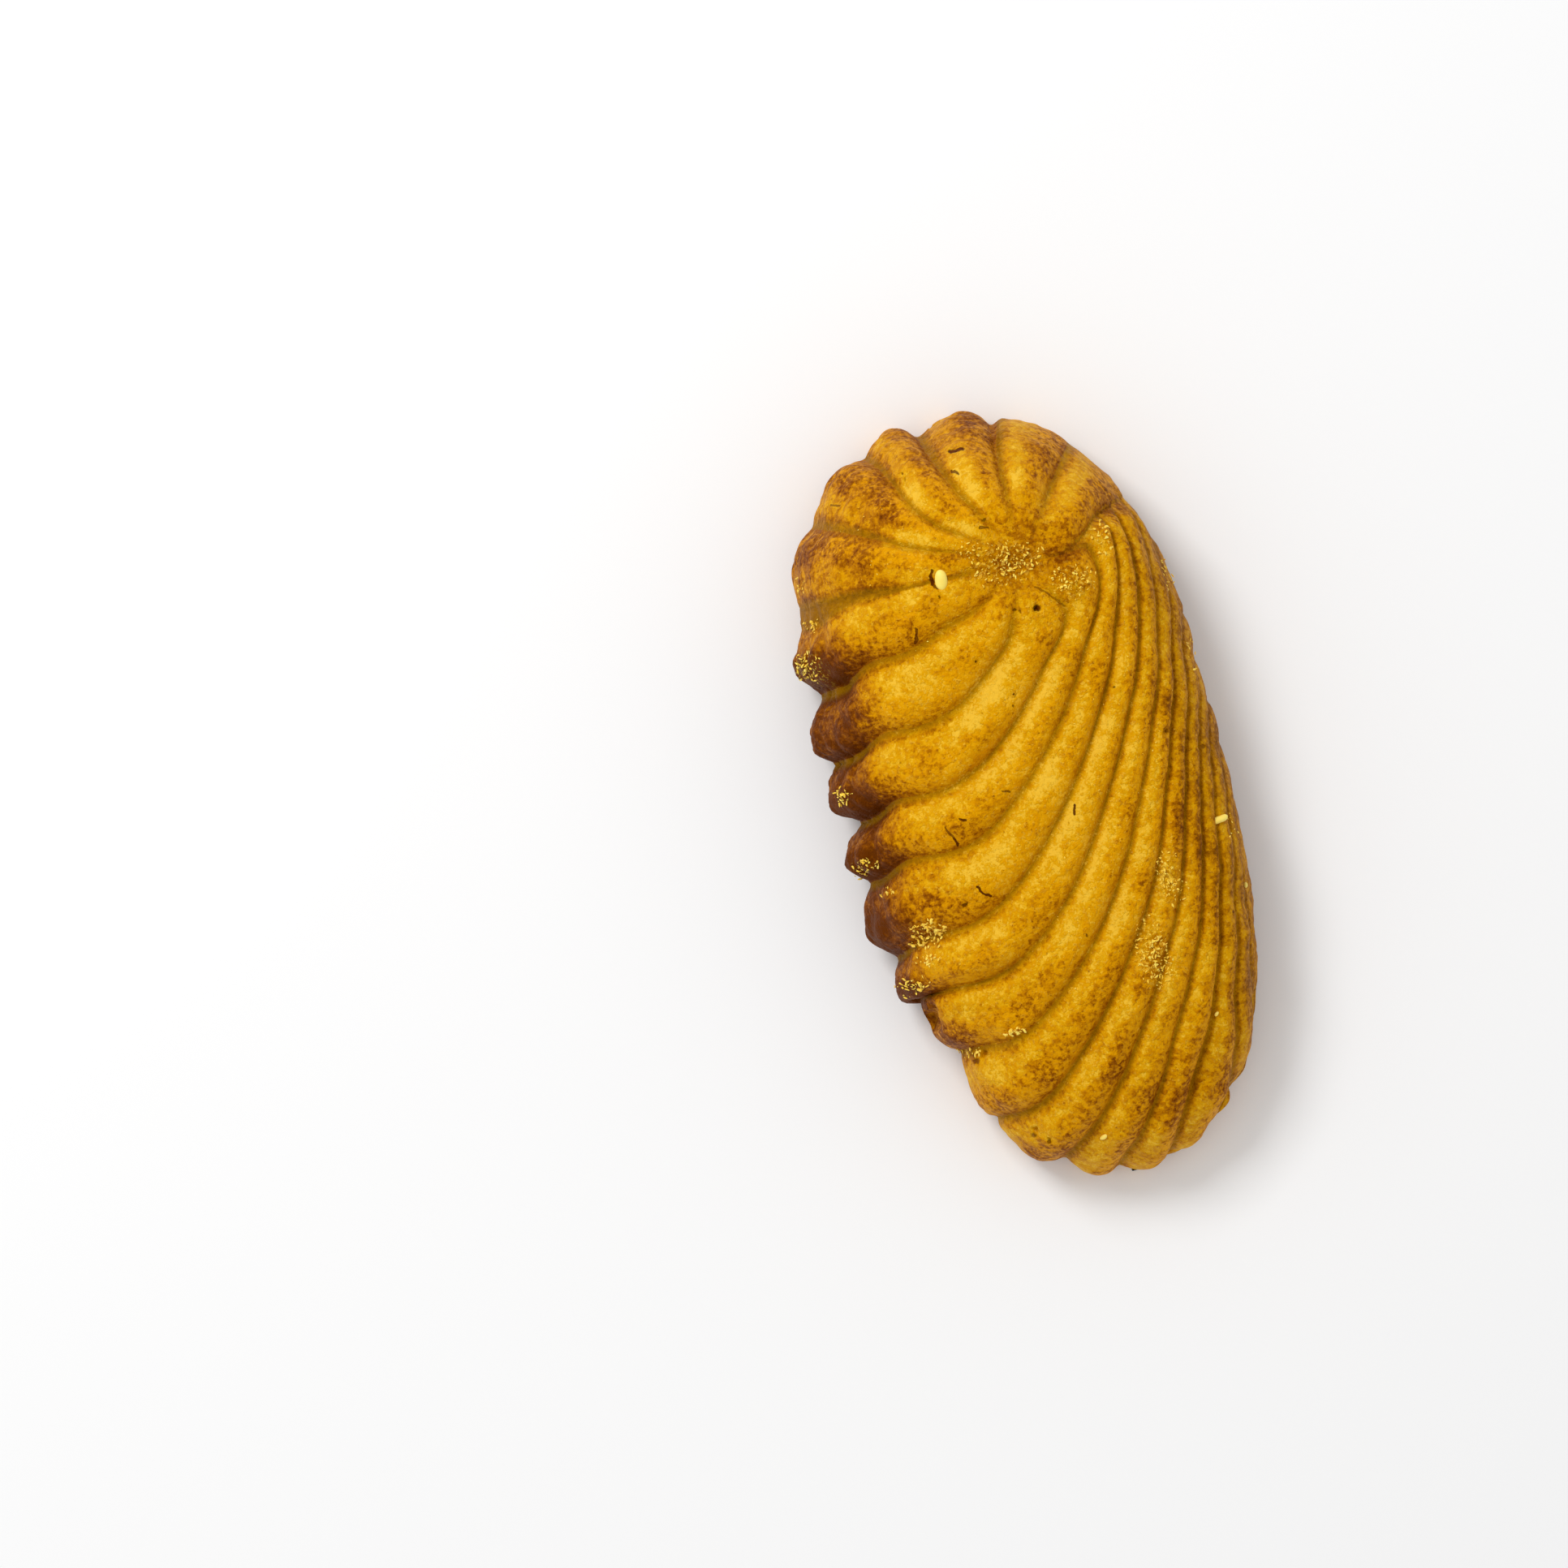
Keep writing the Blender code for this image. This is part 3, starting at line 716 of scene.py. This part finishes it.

# How brown the crust is, from 0, cream, to 1, rust, and what makes it browner or paler; the crest and flank
# terms also paint light and shade.
BAKED = 0.44
CREST_PALER_AND_LIT = 0.22
TIPS_BROWNER = 0.61
# The right flank is darker partly as painted shade, turned away from the light, and partly browner bake.
FLANK_SHADE_AND_BROWNER = 0.25
UNDER_BROWNER = 0.25
BLOTCH_SHARE = 0.75
MOTTLE_SHARE = 0.45
FLECK_SHARE = 0.16
GRAIN_SHARE = 0.90
TIPS_CALMER = 0.3
STREAK_SHARE = 0.15
TIPS_STREAKIER = 0.55
FLECK_EDGE = (0.46, 0.54)

# Colours laid over the bake: their shares, and where they come in. Orange, olive, crease and tuck colours
# paint shade.
ORANGE_SHADE_AND_BAKE_SHARE = 0.40
ORANGE_BAKE = (0.75, 0.35)
OLIVE_SHADE_SHARE = 0.60
OLIVE_FLANK_SHADE = 0.25
CREAM_SHARE = 0.80
CREAM_GRAIN = (0.06, 0.15)
CREAM_BAKE = (0.65, 0.30)
DOT_SHARE = 0.55
DOT_EDGE = (0.14, 0.07)
DOT_MOTTLE = (0.02, 0.10)
CREASE_SHADE_SHARE = 0.30
TUCK_SHADE = 0.30
GAP_SHARE = 0.60
GAP_EDGE = (0.52, 0.40)
FLAKE_SHARE = 0.50
FLAKE_EDGE = (0.56, 0.62)
FLAKE_RISES = (0.50, 0.60)
MARK_SHARE = 0.94

# Finish of the crust, and shares of its fine relief, which is this high in millimetres.
CRUST_ROUGHNESS = 0.60
GRAIN_ROUGHNESS = 0.3
CRUST_GLOSS = 0.14
MOTTLE_HEIGHT = 0.50
GRAIN_HEIGHT = 0.60
FLECK_HEIGHT = 0.14
STREAK_HEIGHT = 0.25
FLAKE_HEIGHT = 0.3
MARK_DEPTH = 0.9
LINE_DEPTH = 0.35
RELIEF_STRENGTH = 0.80
RELIEF_HEIGHT = 0.35
BIT_RELIEF_STRENGTH = 0.25
BIT_RELIEF_HEIGHT = 0.1
CRUMB_GLOSS = 0.45

# Edges of pits and cracks: how far they stray, how torn they are, and where their dark starts.
MARK_STRAY = 0.45
TORN = 1.2
TORN_LEAST = 0.5
PIT_EDGE = (1.05, 0.40)
PIT_DARKER = 0.2
CRACK_EDGE = (1.7, 0.9)
CRACK_DARKER = 0.15


def flat_place(x, y):
    at = place((x, y, 0.0))
    return Vector((at[0], at[1], 0.0))


def marks_seen(m):
    """How dark each place is inside a pit or crack, seen from above."""
    ragged = m.vector("SUBTRACT", {0: m.texture(FLECKS, 2.0).outputs["Color"], 1: (0.5, 0.5, 0.5)})
    ragged = m.vector("SCALE", {0: ragged, "Scale": MARK_STRAY * MM})
    spot = m.vector("ADD", {0: m.object_place, 1: ragged})
    spot = m.vector("MULTIPLY", {0: spot, 1: (1.0, 1.0, 0.0)})
    torn = m.noise(TEARS, 2.0) * TORN + TORN_LEAST
    dark = 0.0
    for x, y, radius, depth in PITS:
        far = m.vector_number("DISTANCE", spot, flat_place(x, y))
        edge = [radius * share * MM for share in PIT_EDGE]
        dark = (m.ease(*edge, far) * min(1.0, depth + PIT_DARKER)).most(dark)
    for start_x, start_y, end_x, end_y, half, how_dark in CRACKS:
        run = flat_place(end_x, end_y) - flat_place(start_x, start_y)
        off = m.vector("SUBTRACT", {0: spot, 1: flat_place(start_x, start_y)})
        along = m.vector_number("DOT_PRODUCT", off, run / run.length_squared).most(0.0).least(1.0)
        nearest = m.vector("SCALE", {0: run, "Scale": along})
        far = m.vector_number("DISTANCE", off, nearest) * torn
        edge = [half * share * MM for share in CRACK_EDGE]
        dark = (m.ease(*edge, far) * min(1.0, how_dark + CRACK_DARKER)).most(dark)
    return dark * m.attribute("upper")


def baked_dough():
    """Golden crust, brown at the tips; pale crests partly painted light; brown valley lines painted shade;
    olive upper sides, orange lower sides and right flank partly painted shade.
    """
    m = Maker("baked_dough")
    tips, flank, tone = m.attribute("tips"), m.attribute("flank"), m.attribute("tone")
    grit, under, clear = m.attribute("grit"), m.attribute("under"), m.attribute("clear")
    streak_place = m.node("ShaderNodeAttribute", {"attribute_name": "streak"}, {}).outputs["Vector"]

    blotch = m.noise(BLOTCHES, 3.0, 0.6) - 0.5
    mottle = m.noise(MOTTLING, 4.0, 0.68) - 0.5
    flecks = m.ease(*FLECK_EDGE, m.noise(FLECKS, 3.0, 0.6)) - 0.5
    grain = m.noise(GRAINS, 2.0, 0.6) - 0.5
    streaks = m.noise(1.0, 4.0, 0.65, streak_place) - 0.5
    phase = m.number("ABSOLUTE", m.attribute("phase") + mottle * PHASE_STRAY)
    across = m.number("FRACT", phase)
    off_line = across.least(1.0 - across) * m.attribute("ridge_width")
    # Painted shade: a thin brown line along the bottom of each valley.
    crease_shade = m.ease(*CREASE_SHADE_HALF, off_line + grain * CREASE_SHADE_STRAY) * clear
    # Painted shade: each ridge's lower side in the orange it shows in shade, partly browner bake.
    lower_side_shade_and_bake = m.ease(*LOWER_STARTS, across + blotch * LOWER_STRAY) * m.ease(*LOWER_ENDS, across) * clear
    # Painted light: the lit upper half of each ridge made paler, partly paler dough on the crest.
    crest = m.ease(*CREST_STARTS, across) * m.ease(*CREST_ENDS, across + blotch * CREST_STRAY) * clear
    # Painted shade: olive just below each valley, where the ridge above shades it, partly less baked dough.
    upper_side_shade_and_underbake = m.ease(*UPPER_SIDE, across) * clear

    # The crest term paints light and the flank term paints shade, each partly the bake.
    bake = (
        BAKED
        - crest * CREST_PALER_AND_LIT
        + tips * TIPS_BROWNER
        + flank * FLANK_SHADE_AND_BROWNER
        + tone
        + under * UNDER_BROWNER
        + blotch * BLOTCH_SHARE
        + (mottle * MOTTLE_SHARE + flecks * FLECK_SHARE + grain * GRAIN_SHARE) * (1.0 - tips * TIPS_CALMER)
        + streaks * (STREAK_SHARE + tips * TIPS_STREAKIER)
    )
    colour = m.ramp(bake.most(0.0).least(1.0), BAKE_COLOURS)
    # Painted shade, partly bake: orange on the ridges' lower sides.
    colour = m.mix(lower_side_shade_and_bake * m.ease(*ORANGE_BAKE, bake) * ORANGE_SHADE_AND_BAKE_SHARE, colour, ORANGE)
    # Painted shade, partly less baked dough: olive on the ridges' upper sides and on the right flank.
    colour = m.mix((upper_side_shade_and_underbake * OLIVE_SHADE_SHARE).most(flank * OLIVE_FLANK_SHADE), colour, OLIVE)
    creamy = m.ease(*CREAM_GRAIN, grain) * m.ease(*CREAM_BAKE, bake)
    colour = m.mix(creamy * CREAM_SHARE, colour, CREAM)
    dots = m.ease(*DOT_EDGE, m.cells(DOTS)) * m.ease(*DOT_MOTTLE, mottle)
    colour = m.mix(dots * DOT_SHARE, colour, BROWN)
    # Painted shade along the valleys.
    colour = m.mix(crease_shade * CREASE_SHADE_SHARE, colour, BROWN)
    # Painted shade in the crease where the log's end goes under the first petal.
    colour = m.mix(m.attribute("tuck") * TUCK_SHADE, colour, BROWN)

    flakes = m.noise(FLAKES, 2.0, 0.5)
    # Dark gaps between the painted grains: partly painted shade between them, partly browner crust.
    colour = m.mix(grit * m.ease(*GAP_EDGE, flakes) * GAP_SHARE, colour, BROWN)
    colour = m.mix(grit * m.ease(*FLAKE_EDGE, flakes) * FLAKE_SHARE, colour, GLINT)
    # Pits and cracks painted dark: shade in the hollows, partly dark marks in the crust.
    dark = marks_seen(m)
    colour = m.mix(dark * MARK_SHARE, colour, DARK)

    m.set(m.shader.inputs["Base Color"], colour)
    m.set(m.shader.inputs["Roughness"], CRUST_ROUGHNESS + grain * GRAIN_ROUGHNESS)
    m.shader.inputs["Specular IOR Level"].default_value = CRUST_GLOSS
    m.shader.inputs["Specular Tint"].default_value = GLOSS
    height = mottle * MOTTLE_HEIGHT + grain * GRAIN_HEIGHT + flecks * FLECK_HEIGHT
    height = height + streaks * STREAK_HEIGHT - dark * MARK_DEPTH - crease_shade * LINE_DEPTH
    height = height + grit * m.ease(*FLAKE_RISES, flakes) * FLAKE_HEIGHT
    m.bump(height, RELIEF_STRENGTH, RELIEF_HEIGHT * MM)
    return m.material


def crumb_gold():
    """Bright yellow flakes of crumb, a little glossy."""
    m = Maker("crumb_gold")
    tone = m.noise(CRUMB_TONES, 2.0)
    m.set(m.shader.inputs["Base Color"], m.ramp(tone, CRUMB_COLOURS))
    m.set(m.shader.inputs["Roughness"], 0.30 + tone * 0.3)
    m.shader.inputs["Specular IOR Level"].default_value = CRUMB_GLOSS
    m.shader.inputs["Specular Tint"].default_value = GLOSS
    return m.material


def pale_bit():
    """Pale yellow bits, smooth and matte."""
    m = Maker("pale_bit")
    tone = m.noise(BIT_TONES, 3.0)
    m.set(m.shader.inputs["Base Color"], m.ramp(tone, BIT_COLOURS))
    m.set(m.shader.inputs["Roughness"], 0.40 + tone * 0.2)
    m.bump(tone, BIT_RELIEF_STRENGTH, BIT_RELIEF_HEIGHT * MM)
    return m.material


mesh.materials.append(baked_dough())
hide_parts("biscuit")
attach(crust, "root")


def upright(normal):
    """Turns a shape to stand on the crust, with its own Y still towards the rosette."""
    up = Vector(normal).normalized()
    side = Vector((0.0, 1.0, 0.0)).cross(up).normalized()
    return Matrix((side, up.cross(side), up)).transposed().to_4x4()


def new_piece(name, made, material):
    """An object on the crust that moves with the biscuit and stays inside the solid's own box."""
    for vert in made.verts:
        vert.co = [min(max(at, least), most) for at, least, most in zip(vert.co, cad_low, cad_high)]
    body = bpy.data.meshes.new(name)
    made.to_mesh(body)
    made.free()
    body.materials.append(material)
    piece = bpy.data.objects.new(name, body)
    bpy.context.scene.collection.objects.link(piece)
    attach(piece, "root")


# Crumbs: where they may lie, and their size, place and tilt as shares, millimetres and radians.
CRUMB_SEED = 5
FACING_UP = 0.10
CLUSTER_REACH = 1.4
CLUSTER_FALL = 1.5
STEEP_THINS = 1.5
CRUMB_SHORTEST = 0.30
CRUMB_SKEW = 1.3
CRUMB_WIDTH = (0.25, 0.60)
CRUMB_THICKNESS = (0.20, 0.45)
CRUMB_NUDGE = 0.1
CRUMB_LIFT = 0.30
CRUMB_PITCH = 0.45
CRUMB_ROLL = 0.3
CRUMB_RAGGED = (0.65, 1.25)


def crumbs():
    """Small angular flakes lying on the crust in clusters."""
    rng = np.random.default_rng(CRUMB_SEED)
    normals = np.array([v.normal[:] for v in mesh.vertices])
    seen = np.where(normals[:, 2] > FACING_UP)[0]
    xy = points[seen, :2]
    all_flakes = bmesh.new()
    for cx, cy, rx, ry, count, longest in CLUSTERS + SCATTERED:
        made = bmesh.new()
        close = ((xy[:, 0] - cx) / rx) ** 2 + ((xy[:, 1] - cy) / ry) ** 2
        spots = seen[close < CLUSTER_REACH]
        weight = (CLUSTER_FALL - close[close < CLUSTER_REACH]) * normals[spots, 2] ** STEEP_THINS
        for spot in rng.choice(spots, size=count, p=weight / weight.sum()):
            long = longest * MM * rng.uniform(CRUMB_SHORTEST, 1.0) ** CRUMB_SKEW
            wide = long * rng.uniform(*CRUMB_WIDTH)
            thick = long * rng.uniform(*CRUMB_THICKNESS)
            nudge = Vector(rng.normal(size=3) * CRUMB_NUDGE * MM)
            at = Vector(placed[spot]) + Vector(normals[spot]) * thick * CRUMB_LIFT + nudge
            tilt = Matrix.Rotation(rng.normal(0.0, CRUMB_PITCH), 4, "X")
            tilt = tilt @ Matrix.Rotation(rng.normal(0.0, CRUMB_ROLL), 4, "Y")
            turned = Matrix.Rotation(rng.uniform(0.0, math.tau), 4, "Z") @ tilt
            size = Matrix.Diagonal((wide * 0.5, long * 0.5, thick * 0.5, 1.0))
            whole = Matrix.Translation(at) @ upright(normals[spot]) @ turned @ size
            flake = bmesh.ops.create_icosphere(made, subdivisions=1, radius=1.0, matrix=whole)["verts"]
            for vert in flake:
                vert.co = at + (vert.co - at) * rng.uniform(*CRUMB_RAGGED)
        cluster = bpy.data.meshes.new("crumb_cluster")
        made.to_mesh(cluster)
        made.free()
        all_flakes.from_mesh(cluster)
        bpy.data.meshes.remove(cluster)
    new_piece("loose_crumbs", all_flakes, crumb_gold())


# Pale bits pressed into the crust: x, y, width, length, thickness, bearing, raggedness.
BITS = (
    (-4.70, 23.1, 1.30, 2.0, 0.85, 8.0, 0.03), (17.2, -5.7, 0.75, 1.5, 0.7, 80.0, 0.13),
    (-0.3, -33.8, 0.5, 1.0, 0.45, 75.0, 0.08), (18.5, -12.6, 0.4, 0.6, 0.4, 20.0, 0.12),
    (13.1, -24.2, 0.3, 0.5, 0.3, 50.0, 0.12),
)
BIT_LIFT = 0.20
BULGES = (5.2, 4.3, 3.1)
OUT_OF_REACH = 10.0


def bits():
    """Rounded bits pressed a little way into the crust."""
    made = bmesh.new()
    for x, y, wide, tall, thick, bearing, ragged in BITS:
        far = np.hypot(points[:, 0] - x, points[:, 1] - y) + OUT_OF_REACH * (facts["upper"] < 0.5)
        spot = int(np.argmin(far))
        normal = mesh.vertices[spot].normal.copy()
        at = Vector(placed[spot]) + normal * BIT_LIFT * thick * MM
        size = Matrix.Diagonal((wide * 0.5 * MM, tall * 0.5 * MM, thick * 0.5 * MM, 1.0))
        turned = Matrix.Rotation(math.radians(-bearing), 4, "Z")
        whole = Matrix.Translation(at) @ upright(normal) @ turned @ size
        bit = bmesh.ops.create_icosphere(made, subdivisions=4, radius=1.0, matrix=whole)["verts"]
        for vert in bit:
            away = (vert.co - at) / MM
            bulge = math.sin(BULGES[0] * away.x + x) + math.sin(BULGES[1] * away.y + BULGES[2] * away.z + y)
            vert.co = at + away * MM * (1.0 + ragged * bulge)
    for face in made.faces:
        face.smooth = True
    new_piece("pale_bits", made, pale_bit())


crumbs()
bits()

# Floor, light and camera.
PHOTO_PIXELS = 1932
PIXEL = 0.08 * MM
ROLL = math.radians(12.0)
AIM = place((-23.86, 6.63, 0.0))
CAMERA_HEIGHT = 2.0
FOCUS_HEIGHT = 0.006
SENSOR_WIDTH = 36.0
FLOOR_REACH = 1.2
FLOOR_GAP = 0.00005
PAPER_WHITE = (0.97, 0.97, 0.97, 1.0)
STUDIO_WHITE = (1.0, 1.0, 1.0, 1.0)
STUDIO_STRENGTH = 0.67
KEY_AWAY = (-0.22, 0.34)
KEY_HEIGHT = 0.48
KEY_SIZE = 0.22
KEY_POWER = 1.75

bm = bmesh.new()
bmesh.ops.create_grid(bm, x_segments=1, y_segments=1, size=FLOOR_REACH)
ground = bpy.data.meshes.new("floor")
bm.to_mesh(ground)
bm.free()
floor = bpy.data.objects.new("floor", ground)
floor.location = (0.0, 0.0, cad_low[2] - FLOOR_GAP)
bpy.context.scene.collection.objects.link(floor)
paper = Maker("floor_paper")
paper.shader.inputs["Base Color"].default_value = PAPER_WHITE
paper.shader.inputs["Roughness"].default_value = 0.9
paper.shader.inputs["Specular IOR Level"].default_value = 0.1
ground.materials.append(paper.material)

world = bpy.data.worlds.new("studio")
bpy.context.scene.world = world
world.use_nodes = True
world.node_tree.nodes["Background"].inputs["Color"].default_value = STUDIO_WHITE
world.node_tree.nodes["Background"].inputs["Strength"].default_value = STUDIO_STRENGTH


def lamp(name, away, height, size, power):
    """A soft square lamp off to one side, aimed at the biscuit."""
    data = bpy.data.lights.new(name, "AREA")
    data.shape = "SQUARE"
    data.size = size
    data.energy = power
    holder = bpy.data.objects.new(name, data)
    holder.location = (away[0], away[1], height)
    holder.rotation_euler = (-holder.location).to_track_quat("-Z", "Y").to_euler()
    bpy.context.scene.collection.objects.link(holder)


lamp("key", KEY_AWAY, KEY_HEIGHT, KEY_SIZE, KEY_POWER)

camera_data = bpy.data.cameras.new("camera")
camera_data.sensor_width = SENSOR_WIDTH
camera_data.lens = SENSOR_WIDTH * (CAMERA_HEIGHT - FOCUS_HEIGHT) / (PHOTO_PIXELS * PIXEL)
camera = bpy.data.objects.new("camera", camera_data)
camera.location = (AIM[0], AIM[1], CAMERA_HEIGHT)
camera.rotation_euler = (0.0, 0.0, -ROLL)
bpy.context.scene.collection.objects.link(camera)
bpy.context.scene.camera = camera
bpy.context.scene.view_settings.view_transform = "Standard"
